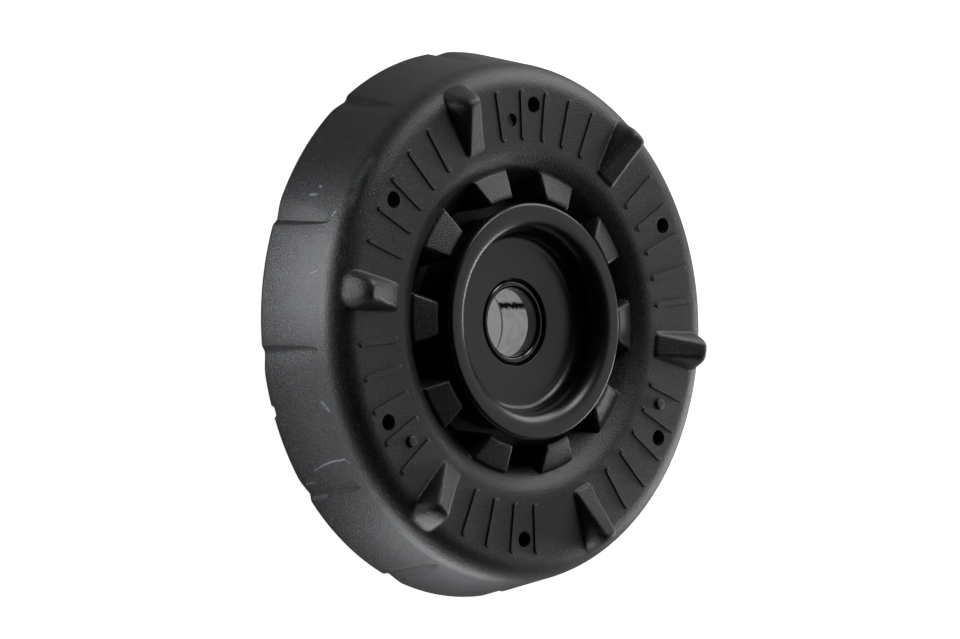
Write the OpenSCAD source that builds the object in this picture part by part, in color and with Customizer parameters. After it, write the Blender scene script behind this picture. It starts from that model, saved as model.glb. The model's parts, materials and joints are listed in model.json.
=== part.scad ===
// Strut top mount: a rubber ring bonded round a two-piece steel spool.
// The axis is Z, the base rests on Z = 0 and the ribbed face looks up. One wedge rib lies on +X.

/* [Rubber body] */
// Radius of the rubber at its base
base_r = 76; // [72:0.5:84]
// Height from the base to the flat ribbed face
body_h = 26; // [25:0.5:34]
// Radius of the rounded shoulder between wall and face
shoulder_round = 5; // [3:0.5:6]
// Radius at which the flat face runs out into the shoulder
face_r = 64; // [62:0.5:66]
// Small bevel round the base edge
base_bevel = 0.6; // [0.2:0.1:1.2]

/* [Wall flutes] */
// Number of shallow flutes in the outer wall
flute_count = 12; // [6:1:24]
// Angle from a wedge rib to the first flute
flute_turn = 14.2; // [8:0.1:22]
// Width of a flute's steep side, towards the nearer wedge rib
flute_steep_w = 1.7; // [1:0.1:3]
// Width of a flute's gentle side
flute_gentle_w = 5.4; // [3:0.1:7]
// Depth of a flute
flute_depth = 1; // [0.4:0.1:1.4]
// Height at which a flute has run out
flute_top_z = 20; // [17:0.5:21]
// Height over which a flute runs out
flute_fade_h = 9; // [5:0.5:12]
// Length of the nick in the base edge
nick_length = 4; // [2:0.5:6]
// Height of the nick in the base edge
nick_height = 1.4; // [0.6:0.1:1.8]
// Angle of the nick from +X
nick_turn = 205.5; // [200:0.5:211]

/* [Wedge ribs] */
// Number of wedge ribs, which is also the number of face sectors
wedge_count = 6; // [4:1:8]
// Radius of a wedge's blunt inner end
wedge_in_r = 50; // [49:0.5:54]
// Height of a wedge's inner end above the face
wedge_start_h = 0.7; // [0.3:0.1:1.5]
// Radius of the foot of a wedge's outer end, on the shoulder
wedge_out_r = 68.9; // [67.5:0.1:69.5]
// Slope of the crest, in degrees
wedge_rise = 22.5; // [15:0.5:28]
// Lean of the outer end from upright, in degrees
wedge_end_lean = 17; // [8:1:25]
// Width of the crest
wedge_top_w = 5.2; // [4:0.1:7]
// Draft of the two flanks, in degrees
wedge_draft = 27; // [10:1:32]
// Largest width of a wedge, at its outer end
wedge_base_w = 11.2; // [9:0.1:14]
// Rounding of the peak
wedge_peak_round = 2.5; // [1:0.1:3]
// Rounding of the crest's two edges
wedge_edge_round = 1; // [0.4:0.1:1.6]
// Rounding of a wedge's four corners in plan
wedge_corner_round = 4.5; // [2:0.1:5]

/* [Fine ribs] */
// Number of fine ribs between two wedges
fine_count = 5; // [3:2:5]
// Radius of a fine rib's inner end
fine_in_r = 50; // [49:0.5:54]
// Radius of a fine rib's outer end
fine_out_r = 64.1; // [60:0.1:65]
// Width of a fine rib
fine_w = 1.7; // [1:0.1:2.4]
// Height of a fine rib above the face
fine_h = 0.5; // [0.3:0.1:1]
// Sector whose last fine rib was never moulded
bare_sector = 4; // [0:1:5]

/* [Mould marks] */
// Radius of the circle of mould pin holes
pin_circle_r = 60; // [57:0.5:62]
// Diameter of a mould pin hole
pin_d = 4.2; // [3:0.1:5]
// Radius of the circle of gate marks
gate_circle_r = 55.7; // [53:0.1:58]
// Diameter of a gate mark
gate_d = 3.4; // [2:0.1:4]
// Height of a raised gate mark
gate_h = 0.9; // [0.4:0.1:1.4]
// Depth of the sunk gate mark
gate_sink = 1.2; // [0.4:0.1:2]
// Sector of the sunk gate mark
pit_sector = 1; // [0:1:2]
// First sector with a raised gate mark, the next one lies two sectors on
nub_sector = 3; // [3:1:5]

/* [Recess and stop blocks] */
// Radius of the recess at the face
recess_r = 46.9; // [46:0.1:48.5]
// Radius at which the funnel meets the blocks
well_r = 42.5; // [41.5:0.1:44]
// Depth of the funnel at the blocks
funnel_drop = 2.6; // [1.5:0.1:4]
// Radius of the blocks' inner ends
block_in_r = 34.3; // [33.8:0.1:36]
// Height of the blocks' inner ends above the face
block_rise = 0.7; // [0:0.1:1.5]
// Number of blocks
block_count = 10; // [8:1:12]
// Angle from +X to the middle of the first block
block_turn = 6; // [0:0.5:18]
// Width of the slots that part the blocks
slot_w = 12.4; // [9:0.1:13]
// Height of the slots' floor above the floor of the groove round the cup
slot_step = 1; // [0.5:0.1:2]
// Rounding of a slot's outer corners
slot_round = 2.5; // [1:0.1:4]
// Thickness of the rubber web under the recess
web_t = 8.5; // [6:0.5:10]
// Thickness of the rubber skin on the cup's wall
hub_skin = 2; // [1.5:0.1:2.5]

/* [Upper cup] */
// Thickness of the cup's and the sleeve's sheet
sheet_t = 2.4; // [1.8:0.1:2.6]
// Radius of the cup's flange
cup_flange_r = 32.8; // [32:0.1:33.2]
// Height of the flange above the rubber face
cup_flange_rise = 2.9; // [2.9:0.1:5]
// Depth of the cup inside
cup_depth = 8.6; // [8:0.1:10]
// Radius of the cup's inner wall
cup_wall_r = 25; // [23:0.1:25.5]
// Rounding from flange into wall, on the inside
cup_shoulder_round = 4.5; // [3.5:0.1:5]
// Rounding from wall into floor, on the inside
cup_floor_round = 3; // [2:0.1:3.5]
// Radius of the hole in the cup's floor
cup_hole_r = 12.1; // [12:0.1:13]

/* [Lower sleeve] */
// Radius of the rod hole in the sleeve's neck
rod_hole_r = 9.5; // [8.5:0.1:10.5]
// Gap between the neck and the cup's hole, which it stands in
neck_gap = 0.4; // [0.2:0.1:1]
// Distance of the neck's rounded end below the cup's floor
neck_drop = 0.4; // [0.1:0.1:0.8]
// Outer rounding of the sleeve's closed end
sleeve_corner_round = 1.6; // [1:0.1:2]
// Radius of the sleeve inside
sleeve_r = 11.2; // [10.6:0.1:13]
// Radius of the sleeve's lower flange
sleeve_flange_r = 36; // [30:0.5:40]
// Rounding from sleeve into flange, on the rubber side
sleeve_round = 1.2; // [1:0.1:3]
// Height of the lower flange above the base
sleeve_lift = 1.2; // [0.6:0.1:2.5]

/* [Seat ring] */
// Inner radius of the seat ring
ring_in_r = 46; // [44:0.5:48]
// Outer radius of the seat ring
ring_out_r = 66; // [64:0.5:68]
// Thickness of the seat ring
ring_t = 3; // [2:0.1:4]
// Height of the seat face above the base
ring_lift = 1; // [0.5:0.1:2]
// Height of the ring's upturned collar above its flat
collar_h = 9; // [5:0.5:10]

/* [Hidden] */
$fn = 96;

// Bond line between rubber and steel
bond = 0.05;
// Length by which a cutter or a foot runs past the face that it meets
over = 1;
// Steps in a rounded corner of a section
arc_steps = 8;
// Multiple of its own depth by which a flute's cutter reaches out past the wall
flute_reach = 6;

// Round from the cup's flange into its wall, within the width that the flange leaves for it
flange_bend = min(cup_shoulder_round, cup_flange_r - cup_wall_r - sheet_t / 2);

// Heights
face_z = body_h;
cup_top_z = face_z + cup_flange_rise;
cup_floor_z = cup_top_z - cup_depth;
cup_under_z = cup_floor_z - sheet_t;
sleeve_floor_z = cup_under_z - sheet_t;
flange_top_z = sleeve_lift + sheet_t;
web_under_z = flange_top_z + bond;
groove_z = web_under_z + web_t;
hub_top_z = cup_top_z - flange_bend;
ring_top_z = ring_lift + ring_t;
collar_top_z = ring_top_z + collar_h;

// Radii that follow from the sheet
cup_out_r = cup_wall_r + sheet_t;
sleeve_out_r = sleeve_r + sheet_t;
neck_out_r = cup_hole_r - neck_gap;
neck_t = neck_out_r - rod_hole_r;
hub_r = cup_out_r + bond + hub_skin;

// Angles of the face pattern: wedges on the sector lines, fine ribs a pitch apart about the middle
sector = 360 / wedge_count;
pitch = sector / (fine_count + 2);
pin_turn = sector / 2 + pitch / 2;
gate_turn = sector / 2 + pitch * 3 / 2;

// Centre of the shoulder's round, and the wall that runs tangent to it from the base
shoulder_z = face_z - shoulder_round;
wall_run = base_r - face_r;
wall_fall = shoulder_z - base_bevel;
wall_draft = acos(shoulder_round / norm([wall_run, wall_fall])) - atan(wall_fall / wall_run);
wall_normal = [cos(wall_draft), sin(wall_draft)];

// Foot of the wall, and the directions along which a flute's bottom lies: beside the wall, then out of it
wall_foot = [base_r, base_bevel];
wall_up = [-wall_normal[1], wall_normal[0]];
flute_len = (flute_top_z - base_bevel) / wall_up[1];
flute_fade = atan(flute_depth * wall_up[1] / flute_fade_h);

// Round of a wedge's peak, between its crest line and its outer end line
crest_in = [sin(wedge_rise), -cos(wedge_rise)];
end_in = [-cos(wedge_end_lean), -sin(wedge_end_lean)];
crest_start = [wedge_in_r, face_z + wedge_start_h];
crest_k = wedge_peak_round + crest_start * crest_in;
end_k = wedge_peak_round + [wedge_out_r, shoulder_z] * end_in;
peak_det = crest_in[0] * end_in[1] - crest_in[1] * end_in[0];
peak_c = [crest_k * end_in[1] - crest_in[1] * end_k, crest_in[0] * end_k - crest_k * end_in[0]] / peak_det;
wedge_len = wedge_out_r - wedge_in_r;

// Centre of the round between the cup's wall and floor
floor_c = [cup_wall_r - cup_floor_round, cup_floor_z + cup_floor_round];

// Points of an arc about c from angle a to angle b
function arc(c, r, a, b) = [
    for (i = [0:arc_steps])
        let (turn = a + (b - a) * i / arc_steps) c + r * [cos(turn), sin(turn)]
];

// A slot outline along X from inner end to outer end, with round ends
module round_bar(from_r, to_r, width) {
    translate([from_r + width / 2, -width / 2]) square([to_r - from_r - width, width]);
    translate([from_r + width / 2, 0]) circle(d = width);
    translate([to_r - width / 2, 0]) circle(d = width);
}

// A strip along X whose outer end, at to_r, has two rounded corners
module rounded_end(from_r, to_r, width, corner) {
    translate([from_r, -width / 2]) square([to_r - corner - from_r, width]);
    translate([from_r, corner - width / 2]) square([to_r - from_r, width - 2 * corner]);
    for (side = [-1, 1]) translate([to_r - corner, side * (width / 2 - corner)]) circle(r = corner);
}

// A strip along X whose two ends both have rounded corners
module rounded_strip(from_r, to_r, width, corner) {
    mid_r = (from_r + to_r) / 2;
    rounded_end(mid_r, to_r, width, corner);
    translate([2 * mid_r, 0]) mirror([1, 0]) rounded_end(mid_r, to_r, width, corner);
}

// Half section of the rubber ring, without its ribs and slots
module rubber_section() {
    polygon(concat(
        [[ring_out_r + bond, 0], [base_r - base_bevel, 0], [base_r, base_bevel]],
        arc([face_r, shoulder_z], shoulder_round, wall_draft, 90),
        [[recess_r, face_z], [well_r, face_z - funnel_drop], [block_in_r, face_z + block_rise]],
        [[block_in_r, groove_z], [hub_r, groove_z], [hub_r, hub_top_z]],
        [[cup_out_r + bond, hub_top_z]],
        arc(floor_c, cup_floor_round + sheet_t + bond, 0, -90),
        [[sleeve_out_r + bond, cup_under_z - bond]],
        arc([sleeve_out_r + sleeve_round, flange_top_z + sleeve_round], sleeve_round - bond, 180, 270),
        [[ring_in_r - bond, web_under_z], [ring_in_r - bond, collar_top_z + bond]],
        [[ring_in_r + ring_t + bond, collar_top_z + bond], [ring_in_r + ring_t + bond, ring_top_z + bond]],
        [[ring_out_r + bond, ring_top_z + bond]]
    ));
}

// Side view of a wedge rib, in radius and height
module wedge_side() {
    root_r = wedge_in_r - 2 * over;
    polygon(concat(
        [[root_r, shoulder_z], [root_r, crest_start[1] - 2 * over * tan(wedge_rise)]],
        arc(peak_c, wedge_peak_round, 90 + wedge_rise, wedge_end_lean),
        [[wedge_out_r, shoulder_z]]
    ));
}

// Cross section of a wedge rib, square to its crest, with drafted flanks and rounded edges
module wedge_cross() {
    half = wedge_top_w / 2;
    edge_x = half - wedge_edge_round * (1 - sin(wedge_draft)) / cos(wedge_draft);
    foot_x = half + wedge_len * tan(wedge_draft);
    polygon(concat(
        [[-foot_x, -wedge_len], [foot_x, -wedge_len]],
        arc([edge_x, -wedge_edge_round], wedge_edge_round, wedge_draft, 90),
        arc([-edge_x, -wedge_edge_round], wedge_edge_round, 90, 180 - wedge_draft)
    ));
}

// One wedge rib on +X
module wedge_rib() {
    intersection() {
        translate([0, wedge_base_w, 0]) rotate([90, 0, 0]) linear_extrude(2 * wedge_base_w) wedge_side();
        translate([wedge_in_r, 0, crest_start[1]]) rotate([0, -wedge_rise, 0]) rotate([90, 0, 90])
            translate([0, 0, -wedge_len / 2]) linear_extrude(2 * wedge_len) wedge_cross();
        translate([0, 0, shoulder_z]) linear_extrude(wedge_len)
            rounded_strip(wedge_in_r, wedge_out_r, wedge_base_w, wedge_corner_round);
    }
}

// The fine ribs of one sector, which starts at a wedge on +X
module fine_ribs(count) {
    for (i = [1:count])
        rotate(sector / 2 + pitch * (i - (fine_count + 1) / 2)) translate([0, 0, face_z - fine_h])
            linear_extrude(2 * fine_h) round_bar(fine_in_r, fine_out_r, fine_w);
}

// A raised gate mark, a low cone
module gate_nub() {
    translate([gate_circle_r, 0, face_z - over]) cylinder(d = gate_d, h = over);
    translate([gate_circle_r, 0, face_z]) cylinder(d1 = gate_d, d2 = gate_d - gate_h, h = gate_h);
}

// A V-shaped cutter, gentle side anticlockwise, whose bottom passes through a point at a lean from upright
module flute_cut(place, lean) {
    translate([place[0], 0, place[1]]) rotate([0, -lean, 0]) translate([0, 0, -2 * flute_len])
        linear_extrude(4 * flute_len)
        polygon(flute_reach * [[0, 0], [flute_depth, -flute_steep_w], [flute_depth, flute_gentle_w]]);
}

// One flute: level with the wall at first, then out of it to nought at its top
module flute() {
    intersection() {
        flute_cut(wall_foot - flute_depth * wall_normal, wall_draft);
        flute_cut(wall_foot + flute_len * wall_up, wall_draft - flute_fade);
    }
}

// The rubber moulding
module rubber_isolator() {
    color([0.13, 0.13, 0.14]) difference() {
        union() {
            rotate_extrude() rubber_section();
            for (k = [0:wedge_count - 1]) rotate(sector * k) {
                wedge_rib();
                fine_ribs(k == bare_sector ? fine_count - 1 : fine_count);
            }
            for (k = [nub_sector:2:wedge_count - 1]) rotate(sector * k + gate_turn) gate_nub();
        }
        for (k = [0:wedge_count - 1]) rotate(sector * k + pin_turn)
            translate([pin_circle_r, 0, ring_top_z]) cylinder(d = pin_d, h = body_h);
        rotate(sector * pit_sector + gate_turn) translate([gate_circle_r, 0, face_z - gate_sink])
            cylinder(d = gate_d, h = gate_sink + over);
        for (k = [0:block_count - 1]) rotate(block_turn + 360 / block_count * (k + 0.5))
            translate([0, 0, groove_z + slot_step]) linear_extrude(body_h)
            rounded_end((hub_r + block_in_r) / 2, well_r, slot_w, slot_round);
        for (k = [0:flute_count - 1])
            rotate(flute_turn + 360 / flute_count * k) mirror([0, k % 2, 0]) flute();
        rotate(nick_turn) translate([base_r - nick_height, 0, nick_height - nick_length / 2])
            rotate([0, 90, 0]) cylinder(d = nick_length, h = base_r);
    }
}

// The steel ring in the base: a flat seat with an upturned inner collar
module seat_ring() {
    color([0.2, 0.2, 0.21]) rotate_extrude() polygon([
        [ring_in_r, ring_lift], [ring_out_r, ring_lift],
        [ring_out_r, ring_top_z], [ring_in_r + ring_t, ring_top_z],
        [ring_in_r + ring_t, collar_top_z], [ring_in_r, collar_top_z]
    ]);
}

// The drawn cup: hole, floor, wall and rolled flange in one sheet
module upper_cup() {
    bend_c = [cup_wall_r + flange_bend, cup_top_z - flange_bend];
    color([0.1, 0.1, 0.1]) rotate_extrude() polygon(concat(
        [[cup_hole_r, cup_under_z], [cup_hole_r, cup_floor_z]],
        arc(floor_c, cup_floor_round, -90, 0),
        arc(bend_c, flange_bend, 180, 90),
        arc([cup_flange_r - sheet_t / 2, cup_top_z - sheet_t / 2], sheet_t / 2, 90, -90),
        arc(bend_c, flange_bend - sheet_t, 90, 180),
        arc(floor_c, cup_floor_round + sheet_t, 0, -90)
    ));
}

// The drawn sleeve: neck, closed end, tube and lower flange
module lower_sleeve() {
    flange_c = [sleeve_out_r + sleeve_round, flange_top_z + sleeve_round];
    corner_c = [sleeve_out_r - sleeve_corner_round, cup_under_z - sleeve_corner_round];
    neck_top_z = cup_floor_z - neck_drop - neck_t / 2;
    color([0.16, 0.16, 0.17]) rotate_extrude() polygon(concat(
        [[sleeve_r, sleeve_floor_z], [rod_hole_r, sleeve_floor_z]],
        arc([rod_hole_r + neck_t / 2, neck_top_z], neck_t / 2, 180, 0),
        [[neck_out_r, cup_under_z]],
        arc(corner_c, sleeve_corner_round, 90, 0),
        arc(flange_c, sleeve_round, 180, 270),
        arc([sleeve_flange_r - sheet_t / 2, sleeve_lift + sheet_t / 2], sheet_t / 2, 90, -90),
        arc(flange_c, sleeve_round + sheet_t, 270, 180)
    ));
}

rubber_isolator();
seat_ring();
upper_cup();
lower_sleeve();
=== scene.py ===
# %% [markdown]
# # A strut top mount
# A strut top mount is the rubber ring between a car's body and its spring strut. A press holds two drawn
# steel pieces and a steel seat ring in a mould, and rubber is moulded and bonded round them. This lesson
# loads the measured solids as a fixed frame, remodels the rubber with the soft edges that a mould gives,
# turns the steel pieces as fine lathes, and then finishes and lights the part and sets a camera on it.

# %% Load the measured frame
import json
from math import acos, atan2, cos, hypot, pi, radians, sin, sqrt, tan

import bmesh
import bpy
import numpy as np
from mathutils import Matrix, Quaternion, Vector


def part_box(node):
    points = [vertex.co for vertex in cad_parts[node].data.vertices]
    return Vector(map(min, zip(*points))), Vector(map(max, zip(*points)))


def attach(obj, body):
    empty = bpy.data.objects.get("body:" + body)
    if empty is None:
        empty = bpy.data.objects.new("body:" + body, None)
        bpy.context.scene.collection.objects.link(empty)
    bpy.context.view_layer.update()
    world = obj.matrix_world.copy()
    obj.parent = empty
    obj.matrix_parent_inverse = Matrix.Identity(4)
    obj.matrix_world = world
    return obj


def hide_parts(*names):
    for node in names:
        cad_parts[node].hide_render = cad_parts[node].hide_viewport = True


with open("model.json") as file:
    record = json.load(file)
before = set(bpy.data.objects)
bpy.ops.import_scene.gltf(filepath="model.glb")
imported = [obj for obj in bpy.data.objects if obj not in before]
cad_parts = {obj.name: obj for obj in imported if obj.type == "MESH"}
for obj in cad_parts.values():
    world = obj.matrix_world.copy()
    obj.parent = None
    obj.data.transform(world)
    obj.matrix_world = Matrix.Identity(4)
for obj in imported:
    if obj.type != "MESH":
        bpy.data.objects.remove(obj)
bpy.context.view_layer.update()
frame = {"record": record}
MM = 0.001

# %% [markdown]
# ## Sizes
# Four sizes come from the frame itself: the base radius, the height of the ribbed face, the rod hole and
# the sleeve's bore. The others are drawing sizes, in millimetres and degrees. The steel follows its
# solids, and the rubber has a rounder shoulder and softer blocks and wedges than its plain solid.

# %% Drawing sizes
mounts = {mount["name"]: mount for mount in frame["record"]["mounts"]}
BASE_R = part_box("rubber_isolator")[1].x / MM
FACE_Z = mounts["tower_face"]["pos_m"][2] / MM
ROD_HOLE_R = mounts["rod_hole"]["dims"]["r_mm"]

FACE_R = 64.2
SHOULDER_ROUND = 8.0
BASE_ROUND = 0.6
SHOULDER_Z = FACE_Z - SHOULDER_ROUND

WEDGE_COUNT = 6
FINE_COUNT = 5
SECTOR = 360 / WEDGE_COUNT
PITCH = SECTOR / (FINE_COUNT + 2)

SHEET = 2.4
BOND = 0.05
CUP_RISE = 2.9
CUP_DEPTH = 8.6
CUP_TOP_Z = FACE_Z + CUP_RISE
CUP_FLOOR_Z = CUP_TOP_Z - CUP_DEPTH
CUP_UNDER_Z = CUP_FLOOR_Z - SHEET
CUP_WALL_R = 25.0
CUP_BEND = 4.5
CUP_FLOOR_ROUND = 3.0
CUP_FLANGE_R = 32.8
CUP_HOLE_R = 12.1
HUB_WALL = 2.0
HUB_TOP_Z = CUP_TOP_Z - CUP_BEND
HUB_R = CUP_WALL_R + SHEET + BOND + HUB_WALL

SLEEVE_R = mounts["sleeve_bore"]["dims"]["r_mm"]
SLEEVE_OUT_R = SLEEVE_R + SHEET
NECK_GAP = 0.4
NECK_DROP = 0.4
SLEEVE_FLANGE_R = 36.0
SLEEVE_BEND = 1.2
SLEEVE_CORNER = 1.6
SLEEVE_SEAT = 0.02
SLEEVE_LIFT = 1.2
FLANGE_TOP_Z = SLEEVE_LIFT + SHEET
WEB_T = 8.5
WEB_UNDER_Z = FLANGE_TOP_Z + BOND
GROOVE_Z = WEB_UNDER_Z + WEB_T

RING_IN_R = 46.0
RING_OUT_R = 66.0
RING_T = 3.0
RING_LIFT = 1.0
RING_BEND = 1.0
RING_CREASE = 0.01
COLLAR_H = 9.0
RING_TOP_Z = RING_LIFT + RING_T
COLLAR_TOP_Z = RING_TOP_Z + COLLAR_H
print("base radius", round(BASE_R, 2), "face height", round(FACE_Z, 2), "rod hole radius", ROD_HOLE_R)

# %% [markdown]
# ## Tools for building skins
# A moulded form is easiest to control as rings of points round one axis. A skin here is a list of points
# and faces: grids of quads where rings match, and a zip of triangles where two rings have different
# columns. Soft corners come from a smooth minimum, which blends two heights over a short reach instead of
# creasing.

# %% Skin tools
# In millimetres: points closer than MERGE join, edges shorter than SLIVER go, and GUARD keeps a division
# finite.
MERGE = 0.001
SLIVER = 0.0005
GUARD = 0.001


def smooth_min(a, b, reach):
    """The lower of two heights, blended where they are closer than reach."""
    share = np.clip(0.5 + 0.5 * (b - a) / reach, 0, 1)
    return b * (1 - share) + a * share - reach * share * (1 - share)


def smooth_max(a, b, reach):
    """The higher of two heights, blended where they are closer than reach."""
    return -smooth_min(-a, -b, reach)


def arc(centre, radius, start, end, steps=10):
    """Points (r, z) of an arc in the half section, from one angle in degrees to another."""
    turns = np.radians(np.linspace(start, end, steps + 1))
    return [(centre[0] + radius * cos(t), centre[1] + radius * sin(t)) for t in turns]


def polar(radius, turn, height):
    """Points (x, y, z) from radius, angle in radians and height."""
    return np.stack(np.broadcast_arrays(radius * np.cos(turn), radius * np.sin(turn), height), axis=-1)


def ring(radius, height, columns):
    """One plain ring of points."""
    return polar(radius, np.arange(columns) * 2 * pi / columns, height)


def add_grid(skin, grid, closed):
    """Adds rows of points joined by quads, with the last column joined to the first if closed."""
    rows, columns = grid.shape[:2]
    base = sum(len(block) for block in skin["points"])
    skin["points"].append(grid.reshape(-1, 3))
    for i in range(rows - 1):
        for j in range(columns if closed else columns - 1):
            k = (j + 1) % columns
            corner = base + i * columns
            skin["faces"].append((corner + j, corner + k, corner + columns + k, corner + columns + j))


def add_zip(skin, inner, outer):
    """Joins two rings that have different columns, by walking round both in step."""
    base = sum(len(block) for block in skin["points"])
    loops = []
    for loop in (inner, outer):
        turns = np.arctan2(loop[:, 1], loop[:, 0])
        order = np.argsort(turns)
        loops.append((loop[order], turns[order]))
    (a, turn_a), (b, turn_b) = loops
    skin["points"] += [a, b]
    turn_a = np.append(turn_a, turn_a[0] + 2 * pi)
    turn_b = np.append(turn_b, turn_b[0] + 2 * pi)
    i = j = 0
    while i < len(a) or j < len(b):
        here, there = base + i % len(a), base + len(a) + j % len(b)
        if j == len(b) or (i < len(a) and turn_a[i + 1] <= turn_b[j + 1]):
            i += 1
            skin["faces"].append((here, base + i % len(a), there))
        else:
            j += 1
            skin["faces"].append((here, base + len(a) + j % len(b), there))


def skin_object(name, skin):
    """Turns a skin into a mesh object: merged, with its normals outwards, in metres."""
    mesh = bpy.data.meshes.new(name)
    mesh.from_pydata((np.concatenate(skin["points"]) * MM).tolist(), [], skin["faces"])
    work = bmesh.new()
    work.from_mesh(mesh)
    bmesh.ops.remove_doubles(work, verts=work.verts, dist=MERGE * MM)
    bmesh.ops.dissolve_degenerate(work, edges=work.edges, dist=SLIVER * MM)
    bmesh.ops.recalc_face_normals(work, faces=work.faces)
    open_edges = sum(1 for edge in work.edges if not edge.is_manifold)
    work.to_mesh(mesh)
    work.free()
    made = bpy.data.objects.new(name, mesh)
    bpy.context.scene.collection.objects.link(made)
    print(name, "points", len(mesh.vertices), "faces", len(mesh.polygons), "open edges", open_edges)
    return made


def lathe(name, section, columns):
    """A closed section of (r, z) points turned round the axis."""
    skin = {"points": [], "faces": []}
    rings = [ring(r, z, columns) for r, z in section]
    add_grid(skin, np.array(rings + rings[:1]), closed=True)
    return skin_object(name, skin)


def shade(piece, sharp_angle):
    """Smooth shading, with edges sharper than the angle left crisp."""
    piece.data.polygons.foreach_set("use_smooth", np.ones(len(piece.data.polygons), bool))
    piece.data.set_sharp_from_angle(angle=radians(sharp_angle))


# %% [markdown]
# ## The recess with its stop blocks
# Ten slots part the recess into blocks that stop the cup when the strut pushes hard. The recess is a polar
# grid whose columns run parallel to each slot and crowd on its flanks. The height of every point is a
# formula: a block with drafted flanks and soft edges, the funnel outside it, the slot's sloped outer end
# and its floor.

# %% Recess sizes
SLOT_COUNT = 10
SLOT_CELL = 360 / SLOT_COUNT
FIRST_BLOCK_TURN = 6
SLOT_TURN = FIRST_BLOCK_TURN + SLOT_CELL / 2
SLOT_HALF = 6.2
SLOT_FALL = 4.7
SLOT_END_FALL = 1.05
SLOT_LIFT = 1
SLOT_FLOOR_Z = GROOVE_Z + SLOT_LIFT
WELL_R = 42.5
RECESS_R = 46.9
VALLEY_DROP = 2.6
VALLEY_Z = FACE_Z - VALLEY_DROP
FUNNEL_SLOPE = VALLEY_DROP / (RECESS_R - WELL_R)
RIM_SOFT = 1.1
VALLEY_SOFT = 0.3
BLOCK_IN_R = 34.3
BLOCK_OUT_R = 42.2
BLOCK_RISE = 0.7
BLOCK_TOP_Z = FACE_Z + BLOCK_RISE
BLOCK_SLOPE = 0.354
BLOCK_END_FALL = 2.5
BLOCK_SOFT = 4.0
BLOCK_END_SOFT = 1.2
BLOCK_EDGE = 1.4


def recess_height(r, u):
    """Height at a radius and an offset from a slot's middle: the highest of block, funnel and slot floor."""
    top = BLOCK_TOP_Z - BLOCK_SLOPE * (r - BLOCK_IN_R)
    flank = top + SLOT_FALL * (np.abs(u) - SLOT_HALF)
    end_z = BLOCK_TOP_Z - BLOCK_SLOPE * (BLOCK_OUT_R - BLOCK_IN_R)
    end = end_z - BLOCK_END_FALL * (r - BLOCK_OUT_R)
    edge = np.clip(1 - (r - BLOCK_IN_R) / BLOCK_EDGE, 0, 1)
    block = smooth_min(smooth_min(top, flank, BLOCK_SOFT), end, BLOCK_END_SOFT)
    block = block - BLOCK_EDGE * (1 - np.sqrt(1 - edge**2))
    funnel = smooth_min(VALLEY_Z + FUNNEL_SLOPE * (r - WELL_R), FACE_Z, RIM_SOFT)
    funnel = smooth_min(funnel, VALLEY_Z + SLOT_END_FALL * (r - WELL_R), 2 * VALLEY_SOFT)
    return smooth_max(smooth_max(block, funnel, VALLEY_SOFT), SLOT_FLOOR_Z, VALLEY_SOFT)


def recess(skin):
    """Adds the ten slots and blocks, and returns the recess's inner and outer border rings."""
    across = [0.8, 2.2, 2.9, *np.arange(3.3, 7.3, 0.3), 7.6, 8.1, 8.9]
    cell = np.array([-a for a in across[::-1]] + [0] + across)
    near = BLOCK_IN_R + BLOCK_EDGE * (1 - np.cos(np.radians(np.linspace(0, 90, 8))))
    block = [36.3, 37.2, 38.2, 39.2, 40.1, 40.8, 41.2, 41.5, 41.75]
    valley = [*np.arange(42, 43.1, 0.2), 43.3, 43.8, 44.5, 45.3, 45.9]
    rim = [*np.arange(46.3, 47.3, 0.3), 47.6, 48.4]
    middles = np.radians(SLOT_TURN + SLOT_CELL * np.arange(SLOT_COUNT))
    rows = []
    for r in [*near, *block, *valley, *rim]:
        turn = np.append(-radians(SLOT_CELL / 2), np.arcsin(cell / r))
        height = recess_height(r, r * np.sin(turn))
        turns = (middles[:, None] + turn[None, :]).ravel()
        rows.append(polar(r, turns, np.tile(height, SLOT_COUNT)))
    rows.insert(0, rows[0] * (1, 1, 0) + (0, 0, GROOVE_Z))
    add_grid(skin, np.array(rows), closed=True)
    return rows[0], rows[-1]


# %% [markdown]
# ## The ribbed face
# Six wedge ribs bite into the strut tower and thirty fine ribs, less one that never filled, lie between
# them. The face is a polar grid whose columns run parallel to each rib and crowd round its edges. The
# height of every point is a formula: the face and its rounded shoulder, a wedge, or a low rounded rib.

# %% Face sizes
WEDGE_IN_R = 50.0
WEDGE_OUT_R = 70.4
WEDGE_FOOT_DROP = 5
WEDGE_FOOT_Z = FACE_Z - WEDGE_FOOT_DROP
WEDGE_START_H = 0.7
WEDGE_RISE = radians(21)
WEDGE_SLOPE = tan(WEDGE_RISE)
WEDGE_LEAN = radians(23)
WEDGE_DRAFT = radians(21)
WEDGE_HALF_TOP = 3.1
WEDGE_TOP_SPREAD = 0.03
WEDGE_SQUARE = 3.0
WEDGE_HALF_START = 4.2
WEDGE_START_ROUND = 2.0
WEDGE_START_SPAN = 0.999
WEDGE_FRONT = 2.5
WEDGE_EDGE_SOFT = 5.0
WEDGE_EDGE_CRISP = 2.6
WEDGE_START_SOFT = 0.9
WEDGE_FOOT_SOFT = 0.8
FINE_IN_R = 50.0
FINE_OUT_R = 64.1
FINE_HALF_W = 0.85
FINE_H = 0.45
FINE_EDGE = 0.12
BARE_RIB = (4, 5)
WALL_JOIN_Z = 19.2

wall_run, wall_fall = BASE_R - FACE_R, SHOULDER_Z - BASE_ROUND
WALL_DRAFT = acos(SHOULDER_ROUND / hypot(wall_run, wall_fall)) - atan2(wall_fall, wall_run)
WALL_TOP_R = FACE_R + SHOULDER_ROUND * cos(WALL_DRAFT)
WALL_TOP_Z = SHOULDER_Z + SHOULDER_ROUND * sin(WALL_DRAFT)


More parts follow.
